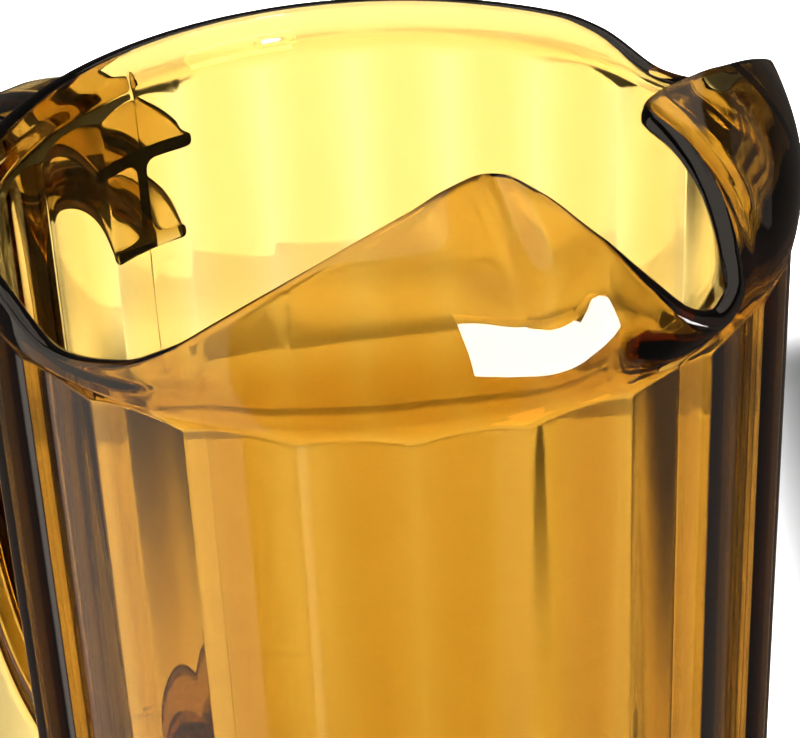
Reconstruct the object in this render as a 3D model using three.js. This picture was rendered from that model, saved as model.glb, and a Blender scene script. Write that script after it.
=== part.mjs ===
// Amber plastic table pitcher: a fluted wall, a wavy rim with three pouring lips
// and two ice guards, a recessed floor on a foot ring, and an I-section handle.
// Millimetres. +Z is up, +X points at the front lip and -X at the handle.
import * as THREE from 'three';

const amber = '#d98f1d';

// Wall: bowed upright panels that meet in shallow valleys
const panelCount = 24;
const panelAngle = 360 / panelCount;
const shoulderHeight = 196; // table to the tops of the valleys between panels
const bodyRadius = 66.4; // middle of a panel, at the shoulder
const panelBow = 28; // radius of a panel's own curve
const taper = Math.tan(THREE.MathUtils.degToRad(1)); // the wall narrows downwards
const wallThickness = 3.3;
const gap = 0.3; // left between neighbouring pieces

// Foot
const footHeight = 2;
const cornerRise = 5; // height of the rounded corner above the foot
const floorThickness = 3.5;

// Rim band, which starts at a crease just above the panels
const creaseRise = 3; // from the valleys' tops to the crease
const creaseFlare = 0.43; // how fast the wall widens over that rise
const creaseHeight = shoulderHeight + creaseRise;
const creaseRadius = wallRadiusAt(panelAngle / 2, shoulderHeight) + creaseRise * creaseFlare;
const bandRadius = 64; // steers how far the band bulges between crease and rim
const rimThickness = 2.7;
const lipThickening = 0.6; // the front lip is a little thicker than the rest
const rimRounding = 0.8; // how far the rim's rounded edge stands past its corners

// The rim's outer edge over half the pitcher: degrees round from the front lip,
// distance from the axis, height above the shoulder. The other half mirrors it.
const rimEdge = [
  [0, 75.0, 12.0], // front lip
  [4.5, 73.9, 14.2],
  [8, 69.3, 20.2], // side of the lip
  [11.3, 63.2, 26.2],
  [14.6, 55.6, 30.4],
  [17.5, 49.3, 31.8],
  [20, 48.2, 32.2], // inward tip of the ice guard
  [24, 50.0, 33.2],
  [30, 53.8, 33.7],
  [36, 56.9, 32.5],
  [42, 59.2, 30.4],
  [49, 61.8, 27.0], // back slope of the ice guard
  [56, 64.7, 22.8],
  [62, 66.2, 18.4],
  [69, 66.6, 12.5],
  [77, 66.4, 7.8],
  [90, 66.2, 5.2], // side lip
  [102, 66.6, 9.0],
  [109, 66.8, 10.0], // back rim, level from here round to the handle
  [180, 66.9, 10.4],
];

// Handle
const outerFlangeWidth = 22;
const innerFlangeWidth = 16;
const flangeThickness = 2.6;
const webThickness = 2.2;
const upperRootTop = shoulderHeight - 8.2; // outer face of the upper root
const upperRootDepth = 20.2;
const lowerRootBottom = 14; // outer face of the lower root
const lowerRootDepth = 19;

function plastic() {
  return new THREE.MeshStandardMaterial({ color: amber, roughness: 0.08, metalness: 0 });
}

// A smooth curve through column `column` of the rim table, with no overshoot.
function rimValue(degrees, column) {
  const turned = Math.abs(((degrees + 540) % 360) - 180);
  const last = rimEdge.length - 1;
  let i = 0;
  while (i < last - 1 && rimEdge[i + 1][0] < turned) i += 1;
  const width = (j) => rimEdge[j + 1][0] - rimEdge[j][0];
  const rise = (j) => (rimEdge[j + 1][column] - rimEdge[j][column]) / width(j);
  const slope = (j) => {
    if (j === 0 || j === last) return 0;
    const before = rise(j - 1);
    const after = rise(j);
    if (before * after <= 0) return 0;
    const weightBefore = 2 * width(j) + width(j - 1);
    const weightAfter = width(j) + 2 * width(j - 1);
    return (weightBefore + weightAfter) / (weightBefore / before + weightAfter / after);
  };
  const h = width(i);
  const t = (turned - rimEdge[i][0]) / h;
  return (2 * t ** 3 - 3 * t ** 2 + 1) * rimEdge[i][column]
    + (t ** 3 - 2 * t ** 2 + t) * h * slope(i)
    + (3 * t ** 2 - 2 * t ** 3) * rimEdge[i + 1][column]
    + (t ** 3 - t ** 2) * h * slope(i + 1);
}

function ringPoint(degrees, radius, height) {
  const angle = THREE.MathUtils.degToRad(degrees);
  return new THREE.Vector3(radius * Math.cos(angle), radius * Math.sin(angle), height);
}

// Outer face of the rim band: t runs from 0 at the crease to 1 at the rim.
function bandPoint(degrees, t) {
  const rimRadius = rimValue(degrees, 1);
  const rimHeight = shoulderHeight + rimValue(degrees, 2);
  const tall = rimHeight - creaseHeight;
  const flare = Math.max(rimRadius - bandRadius - 1, 0);
  const bulge = bandRadius + 0.22 * tall + 0.6 * flare;
  const bulgeRadius = Math.max(bulge, (creaseRadius + rimRadius) / 2);
  const bulgeHeight = creaseHeight + 0.6 * tall;
  const bezier = (a, b, c) => (1 - t) ** 2 * a + 2 * t * (1 - t) * b + t ** 2 * c;
  return ringPoint(
    degrees,
    bezier(creaseRadius, bulgeRadius, rimRadius),
    bezier(creaseHeight, bulgeHeight, rimHeight),
  );
}

// Unit direction up the band at one of its points, and outward square to it. The
// stretch each way round is wide, so that the inner face stays smooth at the tips.
function bandDirections(degrees, t) {
  const reach = 2.5;
  const low = Math.max(t - 0.01, 0);
  const high = Math.min(t + 0.01, 1);
  const upward = bandPoint(degrees, high).sub(bandPoint(degrees, low)).normalize();
  const around = bandPoint(degrees + reach, t).sub(bandPoint(degrees - reach, t));
  return { upward, outward: around.cross(upward).normalize() };
}

// The band's inner face goes on straight up from the wall's, then follows the outer.
function bandInnerPoint(degrees, t) {
  const fromLip = Math.abs(((degrees + 540) % 360) - 180);
  const lip = lipThickening * Math.exp(-((fromLip / 10) ** 2));
  const thickness = THREE.MathUtils.lerp(wallThickness, rimThickness + lip, t);
  const { outward } = bandDirections(degrees, t);
  const follows = bandPoint(degrees, t).addScaledVector(outward, -thickness);
  const straight = ringPoint(degrees, innerRadiusAt(shoulderHeight), follows.z);
  return straight.lerp(follows, THREE.MathUtils.smoothstep(t, 0, 0.6));
}

// Distance from the axis to the outside of a bowed panel.
function wallRadiusAt(degrees, height) {
  const half = panelAngle / 2;
  const fromMiddle = THREE.MathUtils.degToRad(((degrees + half + 360) % panelAngle) - half);
  const bowCentre = bodyRadius - (shoulderHeight - height) * taper - panelBow;
  const across = bowCentre * Math.sin(fromMiddle);
  return bowCentre * Math.cos(fromMiddle) + Math.sqrt(panelBow ** 2 - across ** 2);
}

function innerRadiusAt(height) {
  return wallRadiusAt(0, height) - wallThickness;
}

// Columns of points round the pitcher: fine at the front lip, coarser elsewhere.
function columnAngles() {
  const angles = [];
  for (let panel = 0; panel < panelCount; panel += 1) {
    const middle = panel * panelAngle;
    const steps = Math.abs(((middle + 540) % 360) - 180) <= 30 ? 6 : 4;
    for (let step = 0; step < steps; step += 1) {
      angles.push(middle - panelAngle / 2 + (panelAngle * step) / steps);
    }
  }
  return angles;
}

// A closed ring-shaped solid: each column is a closed loop of points, listed up the
// outside and down the inside, and neighbouring loops are joined by faces.
function loopSolid(name, loopAt) {
  const loops = columnAngles().map(loopAt);
  const size = loops[0].length;
  const positions = loops.flat().flatMap((point) => point.toArray());
  const index = [];
  for (let i = 0; i < loops.length; i += 1) {
    const next = (i + 1) % loops.length;
    for (let j = 0; j < size; j += 1) {
      const above = (j + 1) % size;
      const a = i * size + j;
      const b = next * size + j;
      const c = next * size + above;
      const d = i * size + above;
      index.push(a, b, c, a, c, d);
    }
  }
  const geometry = new THREE.BufferGeometry();
  geometry.setAttribute('position', new THREE.Float32BufferAttribute(positions, 3));
  geometry.setIndex(index);
  geometry.computeVertexNormals();
  const mesh = new THREE.Mesh(geometry, plastic());
  mesh.name = name;
  return mesh;
}

// The panels run from the rounded bottom corner to the shoulder. A flaring cone cuts
// their tops, so each panel ends in a low arch between two valleys.
function makeFlutedWall() {
  const bottom = footHeight + gap;
  const corner = bottom + cornerRise;
  const valleyRadius = wallRadiusAt(panelAngle / 2, shoulderHeight);
  return loopSolid('fluted_wall', (degrees) => {
    const beyondValley = wallRadiusAt(degrees, shoulderHeight) - valleyRadius;
    const arch = shoulderHeight + beyondValley / creaseFlare;
    const top = creaseHeight - gap;
    return [
      ringPoint(degrees, wallRadiusAt(degrees, corner) - 2.2, bottom),
      ringPoint(degrees, wallRadiusAt(degrees, corner) - 0.6, bottom + cornerRise * 0.35),
      ringPoint(degrees, wallRadiusAt(degrees, corner), corner),
      ringPoint(degrees, wallRadiusAt(degrees, arch), arch),
      ringPoint(degrees, creaseRadius - gap * creaseFlare, top),
      ringPoint(degrees, innerRadiusAt(shoulderHeight), top),
      ringPoint(degrees, innerRadiusAt(shoulderHeight), shoulderHeight),
      ringPoint(degrees, innerRadiusAt(corner), corner),
      ringPoint(degrees, innerRadiusAt(corner) - 0.1, bottom),
    ];
  });
}

function makeRimBand() {
  const steps = [0, 0.15, 0.35, 0.55, 0.75, 0.9, 1];
  return loopSolid('rim_band', (degrees) => {
    const outside = steps.map((t) => bandPoint(degrees, t));
    const inside = steps.map((t) => bandInnerPoint(degrees, t)).reverse();
    inside[inside.length - 1].setZ(creaseHeight);
    const { upward } = bandDirections(degrees, 1);
    const outerEdge = outside[outside.length - 1];
    const innerEdge = inside[0];
    const rounded = [0.25, 0.75].map((part) => (
      outerEdge.clone().lerp(innerEdge, part).addScaledVector(upward, rimRounding)
    ));
    return [...outside, ...rounded, ...inside];
  });
}

function lathed(name, outline) {
  const geometry = new THREE.LatheGeometry(outline, 72);
  geometry.rotateX(Math.PI / 2); // a lathe turns about Y, and the pitcher stands on Z
  const mesh = new THREE.Mesh(geometry, plastic());
  mesh.name = name;
  return mesh;
}

function makeFloorPlate() {
  const underside = footHeight + gap;
  const radius = innerRadiusAt(underside) - 0.1 - gap;
  return lathed('floor_plate', [
    new THREE.Vector2(0, underside),
    new THREE.Vector2(radius, underside),
    new THREE.Vector2(radius, underside + floorThickness),
    new THREE.Vector2(0, underside + floorThickness),
  ]);
}

function makeFootRing() {
  const outside = wallRadiusAt(0, footHeight) - 3;
  const inside = outside - 7;
  return lathed('foot_ring', [
    new THREE.Vector2(inside + 0.6, 0),
    new THREE.Vector2(outside - 0.8, 0),
    new THREE.Vector2(outside, footHeight * 0.5),
    new THREE.Vector2(outside, footHeight),
    new THREE.Vector2(inside, footHeight),
    new THREE.Vector2(inside + 0.6, 0),
  ]);
}

// A point on the wall's face opposite the front lip, in the handle's side view.
function rootPoint(height) {
  return [wallRadiusAt(0, height) + gap, height];
}

// A curve in the handle's side view, x outward from the axis towards the handle and
// y up. Its upper half is placed from the shoulder and its lower half from the table.
function handleSide(upperRoot, fromShoulder, fromTable, lowerRoot) {
  const upper = fromShoulder.map(([x, y]) => [x, shoulderHeight + y]);
  return [upperRoot, ...upper, ...fromTable, lowerRoot].map(([x, y]) => new THREE.Vector2(x, y));
}

// The outer flange's outer face, then the inner flange's finger side.
function outerFacePoints() {
  const fromShoulder = [
    [74, -7.0], [84, -6.6], [94, -7.6], [104, -10.4], [118, -17], [130, -26], [138.5, -39],
    [142.5, -56],
  ];
  const fromTable = [[143.5, 110], [142.5, 76], [138, 50], [127, 29], [107, 17.5]];
  return handleSide(rootPoint(upperRootTop), fromShoulder, fromTable, rootPoint(lowerRootBottom));
}

function fingerFacePoints() {
  const fromShoulder = [
    [70, -24.2], [76, -22.4], [85, -23.2], [96, -26.6], [109, -34.5], [119.5, -47],
    [124.5, -64],
  ];
  const fromTable = [[125.5, 110], [124.5, 80], [119, 58], [108, 44], [90, 36]];
  return handleSide(
    rootPoint(upperRootTop - upperRootDepth),
    fromShoulder,
    fromTable,
    rootPoint(lowerRootBottom + lowerRootDepth),
  );
}

// Points along a smooth curve, moved sideways by `distance` to its right.
function shiftedCurve(points, distance, samples) {
  const curve = new THREE.SplineCurve(points);
  const shifted = [];
  for (let i = 0; i <= samples; i += 1) {
    const t = i / samples;
    const along = curve.getTangent(t);
    const point = curve.getPoint(t);
    shifted.push(new THREE.Vector2(point.x + along.y * distance, point.y - along.x * distance));
  }
  return shifted;
}

// Ends of a curve are brought straight to the wall's face.
function trimToWall(points) {
  const trimmed = points.filter((point) => point.x > wallRadiusAt(0, point.y) + gap + 0.2);
  const first = trimmed[0];
  const last = trimmed[trimmed.length - 1];
  return [
    new THREE.Vector2(wallRadiusAt(0, first.y) + gap, first.y),
    ...trimmed,
    new THREE.Vector2(wallRadiusAt(0, last.y) + gap, last.y),
  ];
}

// A flat-sided piece of the handle between two side-view curves.
function handlePiece(name, outer, inner, width) {
  const outline = [...trimToWall(outer), ...trimToWall(inner).reverse()];
  const shape = new THREE.Shape(outline.map((point) => new THREE.Vector2(-point.x, point.y)));
  const geometry = new THREE.ExtrudeGeometry(shape, { depth: width, bevelEnabled: false });
  geometry.rotateX(Math.PI / 2); // drawn in XY, stood up into XZ
  geometry.translate(0, width / 2, 0);
  const mesh = new THREE.Mesh(geometry, plastic());
  mesh.name = name;
  return mesh;
}

function makeOuterFlange() {
  const face = outerFacePoints();
  const outer = shiftedCurve(face, 0, 48);
  const inner = shiftedCurve(face, flangeThickness, 48);
  return handlePiece('handle_outer_flange', outer, inner, outerFlangeWidth);
}

function makeInnerFlange() {
  const face = fingerFacePoints();
  const outer = shiftedCurve(face, -flangeThickness, 40);
  const inner = shiftedCurve(face, 0, 40);
  return handlePiece('handle_inner_flange', outer, inner, innerFlangeWidth);
}

function makeWeb() {
  const outer = shiftedCurve(outerFacePoints(), flangeThickness + gap, 48);
  const inner = shiftedCurve(fingerFacePoints(), -(flangeThickness + gap), 40);
  return handlePiece('handle_web', outer, inner, webThickness);
}

const pitcher = new THREE.Group();
pitcher.name = 'table_pitcher';
pitcher.add(
  makeFlutedWall(),
  makeRimBand(),
  makeFloorPlate(),
  makeFootRing(),
  makeOuterFlange(),
  makeWeb(),
  makeInnerFlange(),
);

// The origin is on the table, under the middle of the whole outline.
const extent = new THREE.Box3().setFromObject(pitcher);
pitcher.position.x = -(extent.min.x + extent.max.x) / 2;

export default pitcher;
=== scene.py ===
"""Amber plastic table pitcher: one moulded piece in clear tinted plastic, in studio light."""

import math

import bmesh
import bpy
from mathutils import Matrix, Vector


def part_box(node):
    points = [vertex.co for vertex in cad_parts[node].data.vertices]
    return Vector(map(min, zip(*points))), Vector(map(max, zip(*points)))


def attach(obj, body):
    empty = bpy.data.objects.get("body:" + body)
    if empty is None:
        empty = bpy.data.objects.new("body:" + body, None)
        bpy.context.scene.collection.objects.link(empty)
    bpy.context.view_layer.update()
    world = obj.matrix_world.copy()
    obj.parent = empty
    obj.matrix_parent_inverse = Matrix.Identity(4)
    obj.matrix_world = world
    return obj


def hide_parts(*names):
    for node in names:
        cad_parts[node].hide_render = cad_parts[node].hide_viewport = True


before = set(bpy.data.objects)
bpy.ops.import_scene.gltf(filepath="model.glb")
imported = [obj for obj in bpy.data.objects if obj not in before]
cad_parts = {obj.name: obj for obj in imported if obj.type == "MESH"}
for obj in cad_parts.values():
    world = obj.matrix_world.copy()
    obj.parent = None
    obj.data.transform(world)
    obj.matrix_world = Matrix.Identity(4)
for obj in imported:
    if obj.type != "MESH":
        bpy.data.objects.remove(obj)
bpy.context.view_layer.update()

MM = 0.001

# The same driving sizes as the CAD, in millimetres.
PANELS = 24
PANEL_ANGLE = 360 / PANELS
SHOULDER = 196.0
BODY_RADIUS = 66.4
PANEL_BOW = 28.0  # radius of each panel across the wall
TAPER = math.tan(math.radians(1))
WALL = 3.3
CREASE_RISE = 3.0  # height of the steep shoulder between the panels and the band
CREASE_FLARE = 0.43
CREASE_HEIGHT = SHOULDER + CREASE_RISE
BAND_RADIUS = 64.0  # steers how far the band bulges between crease and rim
RIM_THICKNESS = 2.7
LIP_THICKENING = 0.6  # extra thickness of the rim at the front lip
FLOOR_UNDERSIDE = 2.3
FLOOR_TOP = 5.8

# The finer shape, in millimetres and, for the columns, in degrees.
FOOT_INSET = 3.2  # from the wall's outside to the foot ring's
FOOT_WIDTH = 6.0
CORNER = 7.0  # rounding of the wall into the foot
FILLET = 6.0  # rounding of the wall into the floor, inside
RIM_ROUND = 1.1  # how far the rim's rounded top stands above its edges
BAND_STEPS = 20
PANEL_HEIGHTS = (30, 55, 80, 105, 130, 155, 180, SHOULDER - 4)
INSIDE_HEIGHTS = (SHOULDER - 6, 170, 140, 110, 80, 50, 25)
FINE_HALF_ANGLE = 30  # how far the fine columns reach on either side of the front lip
FINE_STEPS = 15
COARSE_STEPS = 9
VALLEY_GAP = 0.3

# Degrees from the front lip, distance from the axis, height above the shoulder.
RIM_EDGE = [
    (0, 75.0, 12.0),
    (4.5, 73.9, 14.2),
    (8, 69.3, 20.2),
    (11.3, 63.2, 26.2),
    (14.6, 55.6, 30.4),
    (17.5, 49.3, 31.8),
    (20, 48.2, 32.2),
    (24, 50.0, 33.2),
    (30, 53.8, 33.7),
    (36, 56.9, 32.5),
    (42, 59.2, 30.4),
    (49, 61.8, 27.0),
    (56, 64.7, 22.8),
    (62, 66.2, 18.4),
    (69, 66.6, 12.5),
    (77, 66.4, 7.8),
    (90, 66.2, 5.2),
    (102, 66.6, 9.0),
    (109, 66.8, 10.0),
    (180, 66.9, 10.4),
]

foot_low, foot_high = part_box("foot_ring")
AXIS_X = (foot_low.x + foot_high.x) / 2  # the pitcher's own axis in the row frame


# ---------------------------------------------------------------- shape


def turn_between(a, b=0):
    """The smaller angle between two directions round the axis, in degrees."""
    return abs((a - b + 180) % 360 - 180)


def rim_value(degrees, column):
    """A smooth curve through one column of the rim table, with no overshoot."""
    turned = turn_between(degrees)
    last = len(RIM_EDGE) - 1
    i = 0
    while i < last - 1 and RIM_EDGE[i + 1][0] < turned:
        i += 1

    def width(j):
        return RIM_EDGE[j + 1][0] - RIM_EDGE[j][0]

    def rise(j):
        return (RIM_EDGE[j + 1][column] - RIM_EDGE[j][column]) / width(j)

    def slope(j):
        if j in (0, last):
            return 0.0
        before, after = rise(j - 1), rise(j)
        if before * after <= 0:
            return 0.0
        weight_before = 2 * width(j) + width(j - 1)
        weight_after = width(j) + 2 * width(j - 1)
        return (weight_before + weight_after) / (weight_before / before + weight_after / after)

    h = width(i)
    t = (turned - RIM_EDGE[i][0]) / h
    return (
        (2 * t**3 - 3 * t**2 + 1) * RIM_EDGE[i][column]
        + (t**3 - 2 * t**2 + t) * h * slope(i)
        + (3 * t**2 - 2 * t**3) * RIM_EDGE[i + 1][column]
        + (t**3 - t**2) * h * slope(i + 1)
    )


def ring_point(degrees, radius, height):
    angle = math.radians(degrees)
    return Vector((radius * math.cos(angle), radius * math.sin(angle), height))


def band_point(degrees, t):
    """The rim band's outer face: t runs from 0 at the crease to 1 at the rim."""
    rim_radius = rim_value(degrees, 1)
    rim_height = SHOULDER + rim_value(degrees, 2)
    tall = rim_height - CREASE_HEIGHT
    flare = max(rim_radius - BAND_RADIUS - 1, 0)
    bulge = BAND_RADIUS + 0.22 * tall + 0.6 * flare
    bulge_radius = max(bulge, (CREASE_RADIUS + rim_radius) / 2)
    bulge_height = CREASE_HEIGHT + 0.6 * tall

    def bezier(a, b, c):
        return (1 - t) ** 2 * a + 2 * t * (1 - t) * b + t**2 * c

    return ring_point(
        degrees,
        bezier(CREASE_RADIUS, bulge_radius, rim_radius),
        bezier(CREASE_HEIGHT, bulge_height, rim_height),
    )


def band_directions(degrees, t):
    """Unit vectors up the band and outward square to it, smoothed a little way round."""
    reach = 2.5
    upward = band_point(degrees, min(t + 0.01, 1)) - band_point(degrees, max(t - 0.01, 0))
    around = band_point(degrees + reach, t) - band_point(degrees - reach, t)
    return upward.normalized(), around.cross(upward).normalized()


def smooth_step(value, end):
    x = min(max(value / end, 0), 1)
    return x * x * (3 - 2 * x)


def band_inner_point(degrees, t):
    """The inner face goes on straight up from the wall's, then follows the outer face."""
    lip = LIP_THICKENING * math.exp(-((turn_between(degrees) / 10) ** 2))
    thickness = WALL + (RIM_THICKNESS + lip - WALL) * t
    follows = band_point(degrees, t) - band_directions(degrees, t)[1] * thickness
    straight = ring_point(degrees, inner_radius_at(SHOULDER), follows.z)
    return straight.lerp(follows, smooth_step(t, 0.6))


def wall_radius_at(degrees, height):
    """Distance from the axis to the outside of a bowed panel."""
    half = PANEL_ANGLE / 2
    from_middle = math.radians((degrees + half) % PANEL_ANGLE - half)
    bow_centre = BODY_RADIUS - (SHOULDER - height) * TAPER - PANEL_BOW
    across = bow_centre * math.sin(from_middle)
    return bow_centre * math.cos(from_middle) + math.sqrt(PANEL_BOW**2 - across**2)


def inner_radius_at(height):
    return wall_radius_at(0, height) - WALL


VALLEY_RADIUS = wall_radius_at(PANEL_ANGLE / 2, SHOULDER)
CREASE_RADIUS = VALLEY_RADIUS + CREASE_RISE * CREASE_FLARE

# Fine lines the mould leaves up the outside: where its halves part, at the front and
# through the handle, and where the melt meets on either side. Degrees from the front
# lip, and height.
SEAMS = [(0, 0.07), (180, 0.07), (64, 0.05), (-64, 0.05)]
SEAM_HALF_WIDTH = 0.1  # degrees


def column_angles():
    """Fine columns round the front lip, coarser ones elsewhere, close ones at valleys."""
    angles = []
    for panel in range(PANELS):
        middle = panel * PANEL_ANGLE
        steps = FINE_STEPS if turn_between(middle) <= FINE_HALF_ANGLE else COARSE_STEPS
        start = middle - PANEL_ANGLE / 2
        bowed = PANEL_ANGLE - 2 * VALLEY_GAP
        angles.append(start)
        angles += [start + VALLEY_GAP + bowed * i / steps for i in range(steps + 1)]
    for seam, _ in SEAMS:
        angles = [a for a in angles if turn_between(a, seam) > 2 * SEAM_HALF_WIDTH]
        angles += [seam - SEAM_HALF_WIDTH, seam, seam + SEAM_HALF_WIDTH]
    return sorted((a + 360) % 360 for a in angles)


def seam_height(degrees):
    for seam, height in SEAMS:
        if turn_between(degrees, seam) < SEAM_HALF_WIDTH / 2:
            return height
    return 0.0


def arc(centre, radius, start, end, steps=3):
    """Points on a circular arc, with angles in degrees from the first axis."""
    points = []
    for i in range(steps + 1):
        a = math.radians(start + (end - start) * i / steps)
        points.append((centre[0] + radius * math.cos(a), centre[1] + radius * math.sin(a)))
    return points


def foot_column(degrees):
    """The underside's edge, the foot ring and the rounded corner up to the wall."""
    edge = 0.9
    foot_out = wall_radius_at(0, 0) - FOOT_INSET
    foot_in = foot_out - FOOT_WIDTH
    outline = [(foot_in - 1.2, FLOOR_UNDERSIDE), (foot_in - 0.3, FLOOR_UNDERSIDE - 0.4)]
    outline += arc((foot_in + 1.0, edge), edge, 180, 270)
    outline.append((foot_out - 1.4, 0.0))
    wall = wall_radius_at(degrees, CORNER)
    for r, z in arc((0.0, CORNER), CORNER, -68, 0, 6):
        outline.append((wall - (CORNER - r) * 0.55, z))
    return [ring_point(degrees, r, z) for r, z in outline]


def panel_column(degrees, seam):
    """The outside of the wall, arched at the top of each panel, and the steep shoulder."""
    panel_top = wall_radius_at(degrees, SHOULDER)
    arch = SHOULDER + (panel_top - VALLEY_RADIUS) / CREASE_FLARE
    points = []
    for height in PANEL_HEIGHTS + (arch - 0.5, arch - 0.12):
        points.append(ring_point(degrees, wall_radius_at(degrees, height) + seam, height))
    for share in (0.06, 0.4, 0.8):
        r = panel_top + (CREASE_RADIUS - panel_top) * share + seam
        points.append(ring_point(degrees, r, arch + (CREASE_HEIGHT - arch) * share))
    return points


def band_column(degrees, seam):
    """The band's outer face, the rounded rim, and the band's inner face."""
    levels = [i / BAND_STEPS for i in range(BAND_STEPS + 1)]
    points = []
    for t in levels:
        outward = band_directions(degrees, t)[1]
        points.append(band_point(degrees, t) + outward * seam * (1 - t))
    upward = band_directions(degrees, 1)[0]
    outer = band_point(degrees, 1)
    inner = band_inner_point(degrees, 1)
    for i in range(1, 8):
        a = math.pi * i / 8
        share = (1 - math.cos(a)) / 2
        points.append(outer.lerp(inner, share) + upward * RIM_ROUND * math.sin(a) ** 0.7)
    points += [band_inner_point(degrees, t) for t in reversed(levels)]
    return points


def inside_column(degrees):
    """The round inside of the wall, its fillet and the floor."""
    outline = []
    for height in INSIDE_HEIGHTS:
        outline.append((inner_radius_at(height), height))
    inside = inner_radius_at(FLOOR_TOP + FILLET)
    outline += arc((inside - FILLET, FLOOR_TOP + FILLET), FILLET, 0, -90, 6)
    outline.append((30, FLOOR_TOP))
    return [ring_point(degrees, r, z) for r, z in outline]


def vessel_column(degrees):
    """One column of points, from the middle of the underside round to the middle of the floor."""
    seam = seam_height(degrees)
    return (
        foot_column(degrees)
        + panel_column(degrees, seam)
        + band_column(degrees, seam)
        + inside_column(degrees)
    )


def mesh_object(name, vertices, faces):
    mesh = bpy.data.meshes.new(name)
    mesh.from_pydata([(AXIS_X + v[0] * MM, v[1] * MM, v[2] * MM) for v in vertices], [], faces)
    mesh.update()
    obj = bpy.data.objects.new(name, mesh)
    bpy.context.scene.collection.objects.link(obj)
    return obj


def make_vessel():
    columns = [vessel_column(a) for a in column_angles()]
    tall = len(columns[0])
    vertices = [p for column in columns for p in column]
    starts = [i * tall for i in range(len(columns))]
    neighbours = list(zip(starts, starts[1:] + starts[:1]))
    faces = []
    for here, there in neighbours:
        for j in range(tall - 1):
            faces.append((here + j, there + j, there + j + 1, here + j + 1))
    under = len(vertices)
    floor = under + 1
    vertices += [Vector((0, 0, FLOOR_UNDERSIDE)), Vector((0, 0, FLOOR_TOP))]
    for here, there in neighbours:
        faces.append((here, under, there))
        faces.append((here + tall - 1, there + tall - 1, floor))
    return mesh_object("vessel", vertices, faces)


# ---------------------------------------------------------------- handle

# Side view, in millimetres: distance from the axis towards the handle, and height. The
# upper half is placed from the shoulder and the lower half from the table.
UPPER_OUTER = [
    (74, -7), (84, -6.6), (94, -7.6), (104, -10.4), (118, -17), (130, -26), (138.5, -39),
    (142.5, -56),
]
LOWER_OUTER = [(143.5, 110), (142.5, 76), (138, 50), (127, 29), (107, 17.5)]
UPPER_FINGER = [
    (70, -24.2), (76, -22.4), (85, -23.2), (96, -26.6), (109, -34.5), (119.5, -47),
    (124.5, -64),
]
LOWER_FINGER = [(125.5, 110), (124.5, 80), (119, 58), (108, 44), (90, 36)]
UPPER_ROOT_TOP = SHOULDER - 8.2
UPPER_ROOT_DEPTH = 20.2
LOWER_ROOT_BOTTOM = 14.0
LOWER_ROOT_DEPTH = 19.0
ROOT_SINK = 2.1  # how far the roots go into the wall
OUTER_WIDTH = 22.0
INNER_WIDTH = 16.0
FLANGE = 2.6
WEB = 2.2
HANDLE_STEPS = 90
CURVE_STEPS = 24


def smooth_path(points, samples):
    """Points evenly spaced in length along a Catmull-Rom curve."""
    dense = []
    last = len(points) - 1
    for i in range(last):
        p0, p1, p2, p3 = (Vector(points[min(max(k, 0), last)]) for k in (i - 1, i, i + 1, i + 2))
        for step in range(CURVE_STEPS):
            t = step / CURVE_STEPS
            dense.append(0.5 * (
                2 * p1 + (p2 - p0) * t + (2 * p0 - 5 * p1 + 4 * p2 - p3) * t**2
                + (3 * p1 - p0 - 3 * p2 + p3) * t**3
            ))
    dense.append(Vector(points[-1]))
    lengths = [0.0]
    for a, b in zip(dense, dense[1:]):
        lengths.append(lengths[-1] + (b - a).length)
    path = []
    k = 0
    for i in range(samples + 1):
        want = lengths[-1] * i / samples
        while k < len(dense) - 2 and lengths[k + 1] < want:
            k += 1
        share = (want - lengths[k]) / (lengths[k + 1] - lengths[k])
        path.append(dense[k].lerp(dense[k + 1], min(share, 1)))
    return path


def i_section(depth):
    """Closed outline (across, depthwise) of the I-section, from finger side to outer face."""
    half_in = INNER_WIDTH / 2
    half_out = OUTER_WIDTH / 2
    half_web = WEB / 2
    edge = 0.9
    inner_fillet = 3.0
    outer_fillet = 2.0
    right = [(0.0, 0.0)]
    right += arc((half_in - edge, edge), edge, -90, 0)
    right += arc((half_in - edge, FLANGE - edge), edge, 0, 90)
    right += arc((half_web + inner_fillet, FLANGE + inner_fillet), inner_fillet, 270, 180)
    top = depth - FLANGE
    right += arc((half_web + outer_fillet, top - outer_fillet), outer_fillet, 180, 90)
    right += arc((half_out - edge, top + edge), edge, -90, 0)
    right += arc((half_out - edge, depth - edge), edge, 0, 90)
    right += [(0.0, depth)]
    left = [(-y, s) for y, s in reversed(right[1:-1])]
    return right + left


def handle_side(root_height, upper, lower, foot_height):
    """One face of the handle in the side view, from inside the wall and back into it."""
    points = [(wall_radius_at(0, root_height), root_height)]
    points += [(r, SHOULDER + z) for r, z in upper] + lower
    points += [(wall_radius_at(0, foot_height), foot_height)]
    path = smooth_path(points, HANDLE_STEPS)
    path.insert(0, Vector((path[0].x - ROOT_SINK, path[0].y)))
    path.append(Vector((path[-1].x - ROOT_SINK, path[-1].y)))
    return path


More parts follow.
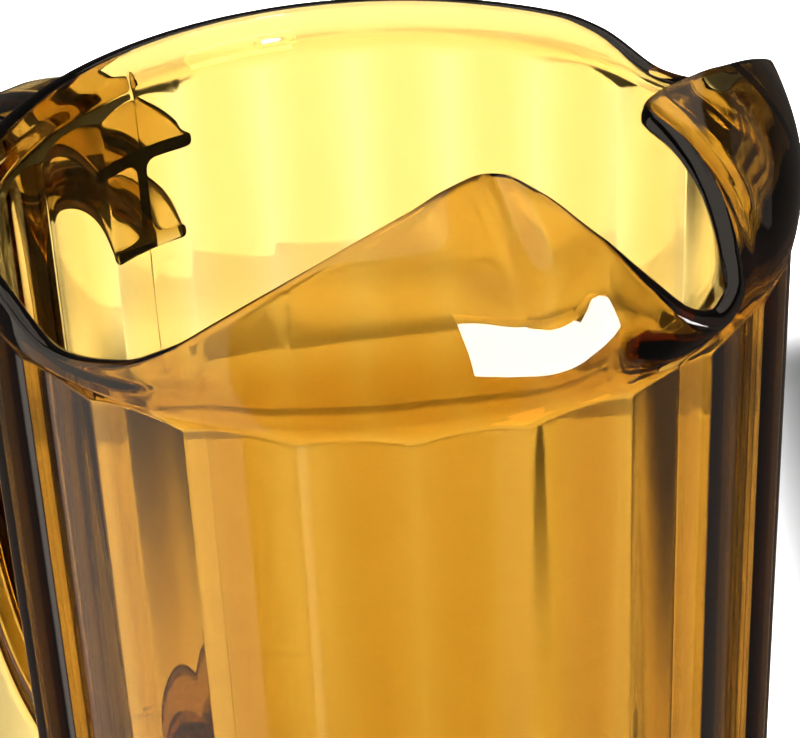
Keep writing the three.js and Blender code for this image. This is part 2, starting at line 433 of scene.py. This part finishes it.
def make_handle():
    outer = handle_side(UPPER_ROOT_TOP, UPPER_OUTER, LOWER_OUTER, LOWER_ROOT_BOTTOM)
    finger = handle_side(
        UPPER_ROOT_TOP - UPPER_ROOT_DEPTH,
        UPPER_FINGER,
        LOWER_FINGER,
        LOWER_ROOT_BOTTOM + LOWER_ROOT_DEPTH,
    )
    vertices = []
    faces = []
    for o, f in zip(outer, finger):
        depth = (o - f).length
        to_outer = (o - f) / depth
        section = i_section(depth)
        for y, s in section:
            p = f + to_outer * s
            vertices.append(Vector((-p.x, y, p.y)))
    size = len(section)
    rows = len(outer)
    for i in range(rows - 1):
        for j in range(size):
            k = (j + 1) % size
            faces.append((i * size + j, i * size + k, (i + 1) * size + k, (i + 1) * size + j))
    faces.append(tuple(reversed(range(size))))
    faces.append(tuple((rows - 1) * size + j for j in range(size)))
    return mesh_object("handle", vertices, faces)


SHARP_ANGLE = math.radians(38)


def face_outwards(obj):
    work = bmesh.new()
    work.from_mesh(obj.data)
    bmesh.ops.remove_doubles(work, verts=work.verts, dist=1e-6)
    bmesh.ops.recalc_face_normals(work, faces=work.faces)
    work.to_mesh(obj.data)
    work.free()


def joined(body, tool, name):
    """One closed mesh from the two, with its smooth faces and sharp edges set."""
    union = body.modifiers.new("union", "BOOLEAN")
    union.operation = "UNION"
    union.solver = "EXACT"
    union.object = tool
    graph = bpy.context.evaluated_depsgraph_get()
    mesh = bpy.data.meshes.new_from_object(body.evaluated_get(graph))
    bpy.data.objects.remove(body)
    bpy.data.objects.remove(tool)
    mesh.name = name
    mesh.materials.clear()
    mesh.shade_smooth()
    mesh.set_sharp_from_angle(angle=SHARP_ANGLE)
    obj = bpy.data.objects.new(name, mesh)
    bpy.context.scene.collection.objects.link(obj)
    even = obj.modifiers.new("even shading", "WEIGHTED_NORMAL")
    even.keep_sharp = True
    even.weight = 80
    return obj


# ---------------------------------------------------------------- materials


def new_material(name):
    material = bpy.data.materials.new(name)
    material.use_nodes = True
    tree = material.node_tree
    tree.nodes.clear()
    return material, tree


def amber_plastic():
    """Clear tinted plastic: the colour comes from how far light travels through it.

    The polish varies a little from place to place and the faces are faintly wavy.
    """
    material, tree = new_material("amber_plastic")
    out = tree.nodes.new("ShaderNodeOutputMaterial")
    shader = tree.nodes.new("ShaderNodeBsdfPrincipled")
    shader.inputs["Base Color"].default_value = (1, 1, 1, 1)
    shader.inputs["Transmission Weight"].default_value = 1
    shader.inputs["IOR"].default_value = 1.57
    tree.links.new(shader.outputs["BSDF"], out.inputs["Surface"])

    inside = tree.nodes.new("ShaderNodeVolumeAbsorption")
    inside.inputs["Color"].default_value = (0.73, 0.57, 0.02, 1)
    inside.inputs["Density"].default_value = 727
    tree.links.new(inside.outputs["Volume"], out.inputs["Volume"])

    place = tree.nodes.new("ShaderNodeTexCoord")
    haze = tree.nodes.new("ShaderNodeTexNoise")
    haze.inputs["Scale"].default_value = 60
    haze.inputs["Detail"].default_value = 3
    tree.links.new(place.outputs["Object"], haze.inputs["Vector"])
    gloss = tree.nodes.new("ShaderNodeMapRange")
    gloss.inputs["To Min"].default_value = 0.0
    gloss.inputs["To Max"].default_value = 0.012
    tree.links.new(haze.outputs["Fac"], gloss.inputs["Value"])
    tree.links.new(gloss.outputs["Result"], shader.inputs["Roughness"])

    waves = tree.nodes.new("ShaderNodeTexNoise")
    waves.inputs["Scale"].default_value = 45
    waves.inputs["Detail"].default_value = 2
    tree.links.new(place.outputs["Object"], waves.inputs["Vector"])
    bump = tree.nodes.new("ShaderNodeBump")
    bump.inputs["Strength"].default_value = 0.12
    bump.inputs["Distance"].default_value = 0.0002
    tree.links.new(waves.outputs["Fac"], bump.inputs["Height"])
    tree.links.new(bump.outputs["Normal"], shader.inputs["Normal"])
    return material


def floor_material():
    """Matt and pale."""
    material, tree = new_material("pale_floor")
    out = tree.nodes.new("ShaderNodeOutputMaterial")
    shader = tree.nodes.new("ShaderNodeBsdfPrincipled")
    shader.inputs["Base Color"].default_value = (0.92, 0.92, 0.92, 1)
    shader.inputs["Roughness"].default_value = 0.6
    shader.inputs["Specular IOR Level"].default_value = 0.0
    tree.links.new(shader.outputs["BSDF"], out.inputs["Surface"])
    return material


# ---------------------------------------------------------------- studio


def make_floor():
    half = 8.0  # metres
    mesh = bpy.data.meshes.new("floor")
    corners = [(-half, -half, 0), (half, -half, 0), (half, half, 0), (-half, half, 0)]
    mesh.from_pydata(corners, [], [(0, 1, 2, 3)])
    mesh.materials.append(floor_material())
    obj = bpy.data.objects.new("floor", mesh)
    bpy.context.scene.collection.objects.link(obj)
    obj.visible_glossy = False  # reflections show the room's cards instead


CAMERA_AZIMUTH = -40.39  # degrees from the front lip, seen from above
CAMERA_ELEVATION = 28.44
CAMERA_TARGET = Vector((AXIS_X, 0, SHOULDER * MM))
CAMERA_DISTANCE = 487.3 * MM
CAMERA_TURN = (0.25, -2.68, -2.86)  # degrees of pan, tilt and roll away from the target
CAMERA_LENS = 135.2
CAMERA_SENSOR = 36


def direction(azimuth, elevation):
    """Unit vector, with the azimuth counted from the camera's side, left positive."""
    a, e = math.radians(CAMERA_AZIMUTH - azimuth), math.radians(elevation)
    return Vector((math.cos(a) * math.cos(e), math.sin(a) * math.cos(e), math.sin(e)))


def make_camera():
    data = bpy.data.cameras.new("camera")
    data.lens = CAMERA_LENS
    data.sensor_width = CAMERA_SENSOR
    data.clip_start = 0.01
    camera = bpy.data.objects.new("camera", data)
    bpy.context.scene.collection.objects.link(camera)
    bpy.context.scene.camera = camera
    away = direction(0, CAMERA_ELEVATION)
    aim = (-away).to_track_quat("-Z", "Y").to_matrix()
    pan, tilt, roll = (math.radians(angle) for angle in CAMERA_TURN)
    turn = Matrix.Rotation(tilt, 3, "X") @ Matrix.Rotation(-pan, 3, "Y")
    turn = turn @ Matrix.Rotation(roll, 3, "Z")
    camera.matrix_world = (
        Matrix.Translation(CAMERA_TARGET + away * CAMERA_DISTANCE) @ (aim @ turn).to_4x4()
    )


def soft_box(name, place, aim, upright, width, height, watts):
    """A rectangular lamp at place, facing aim, its height running along upright."""
    data = bpy.data.lights.new(name, "AREA")
    data.shape = "RECTANGLE"
    data.size = width
    data.size_y = height
    data.energy = watts
    obj = bpy.data.objects.new(name, data)
    bpy.context.scene.collection.objects.link(obj)
    back = (place - aim).normalized()
    across = upright.cross(back).normalized()
    turn = Matrix((across, back.cross(across), back)).transposed()
    obj.matrix_world = Matrix.Translation(place) @ turn.to_4x4()
    obj.visible_camera = False
    return obj


UP = Vector((0, 0, 1))
BEHIND = direction(180, 0)
FOOT = Vector((AXIS_X, 0, 0))

# From here on, distances are in metres and lamps in watts.

# The bright floor behind the pitcher, as strips: start, end, width, and watts per square
# metre of the lamp that hangs over each.
STRIPS = [(0.03, 0.30, 0.175, 12.2), (0.30, 1.70, 0.28, 16.8)]
STRIP_LAMP_HEIGHT = 0.6
STRIP_LAMP_SPREAD = 6  # degrees


def light_strips():
    """Gridded lamps pointing straight down, which light the strips and little else."""
    for i, (start, end, width, power) in enumerate(STRIPS):
        spot = FOOT + BEHIND * (start + end) / 2
        place = spot + UP * STRIP_LAMP_HEIGHT
        watts = power * (end - start) * width
        lamp = soft_box(f"key_{i}", place, spot, BEHIND, width, end - start, watts)
        lamp.data.spread = math.radians(STRIP_LAMP_SPREAD)
        lamp.visible_glossy = False


def light_far_wall():
    """An upright lit wall beyond the strips, facing the pitcher from behind."""
    place = FOOT + UP * 0.5 + BEHIND * 2.0
    lamp = soft_box("far_wall", place, place - BEHIND, UP, 0.7, 1.0, 5)
    lamp.visible_glossy = False


def light_front():
    """A wide soft lamp over the floor on the camera's side."""
    place = FOOT - BEHIND * 1.5 + UP * 1.5
    lamp = soft_box("fill", place, place - UP, BEHIND, 5.0, 3.0, 33)
    lamp.data.spread = math.radians(65)
    lamp.visible_glossy = False


def light_window():
    """The window that shines on the smooth band. It adds nothing to the floor."""
    place = CAMERA_TARGET + direction(-41, -5) * 1.0
    lamp = soft_box("window", place, CAMERA_TARGET, UP, 0.58, 0.60, 20)
    lamp.visible_diffuse = False


def make_lights():
    light_strips()
    light_far_wall()
    light_front()
    light_window()


def world_math(tree, operation, *values):
    """A math node: each value is a number or another node's output."""
    node = tree.nodes.new("ShaderNodeMath")
    node.operation = operation
    for socket, value in zip(node.inputs, values):
        if isinstance(value, (int, float)):
            socket.default_value = value
        else:
            tree.links.new(value, socket)
    return node.outputs["Value"]


def step_up(tree, value, edge, softness):
    """0 below the edge, 1 above it, with a soft change between."""
    node = tree.nodes.new("ShaderNodeMapRange")
    node.interpolation_type = "SMOOTHSTEP"
    node.inputs["From Min"].default_value = edge - softness
    node.inputs["From Max"].default_value = edge + softness
    tree.links.new(value, node.inputs["Value"])
    return node.outputs["Result"]


def white_card(tree, heading, rise, azimuth, half_width, low, high, softness):
    """A white card in the room, by the direction it stands in, in degrees."""
    facing = tree.nodes.new("ShaderNodeVectorMath")
    facing.operation = "DOT_PRODUCT"
    tree.links.new(heading, facing.inputs[0])
    facing.inputs[1].default_value = direction(azimuth, 0)
    across = step_up(tree, facing.outputs["Value"], math.cos(math.radians(half_width)), softness)
    above = step_up(tree, rise, math.sin(math.radians(low)), softness)
    below = step_up(tree, rise, math.sin(math.radians(high)), softness)
    tall = world_math(tree, "SUBTRACT", above, below)
    return world_math(tree, "MULTIPLY", across, tall)


ROOM_GLOW = 0.06
ROOM_COLOUR = (1, 0.87, 0.74, 1)
CARD_SOFTNESS = 0.012
# White cards round the pitcher, in degrees: azimuth, half width, lowest and highest
# elevation, and then brightness.
CARDS = [
    (75, 36, -60, 35, 0.8),
    (-75, 36, -60, 35, 0.2),
    (0, 180, 50, 90, 0.9),
]


def make_world():
    """A dark room with white cards, seen only in the plastic: the lamps light the floor."""
    world = bpy.data.worlds.new("room")
    world.use_nodes = True
    bpy.context.scene.world = world
    tree = world.node_tree
    place = tree.nodes.new("ShaderNodeTexCoord")
    split = tree.nodes.new("ShaderNodeSeparateXYZ")
    tree.links.new(place.outputs["Generated"], split.inputs["Vector"])
    flat = tree.nodes.new("ShaderNodeVectorMath")
    flat.operation = "MULTIPLY"
    flat.inputs[1].default_value = (1, 1, 0)
    tree.links.new(place.outputs["Generated"], flat.inputs[0])
    heading = tree.nodes.new("ShaderNodeVectorMath")
    heading.operation = "NORMALIZE"
    tree.links.new(flat.outputs["Vector"], heading.inputs[0])
    total = ROOM_GLOW
    for azimuth, half_width, low, high, brightness in CARDS:
        card = white_card(
            tree, heading.outputs["Vector"], split.outputs["Z"],
            azimuth, half_width, low, high, CARD_SOFTNESS,
        )
        total = world_math(tree, "MULTIPLY_ADD", card, brightness, total)
    back = tree.nodes["Background"]
    back.inputs["Color"].default_value = ROOM_COLOUR
    tree.links.new(total, back.inputs["Strength"])
    world.cycles_visibility.diffuse = False


def make_pitcher():
    vessel = make_vessel()
    handle = make_handle()
    for obj in (vessel, handle):
        face_outwards(obj)
    pitcher = joined(vessel, handle, "pitcher")
    pitcher.data.materials.append(amber_plastic())
    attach(pitcher, "root")
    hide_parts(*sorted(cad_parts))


def set_up_view():
    scene = bpy.context.scene
    scene.view_settings.view_transform = "Standard"
    scene.cycles.max_bounces = 24
    scene.cycles.transmission_bounces = 24
    scene.cycles.glossy_bounces = 8


make_camera()
make_pitcher()
make_floor()
make_lights()
make_world()
set_up_view()
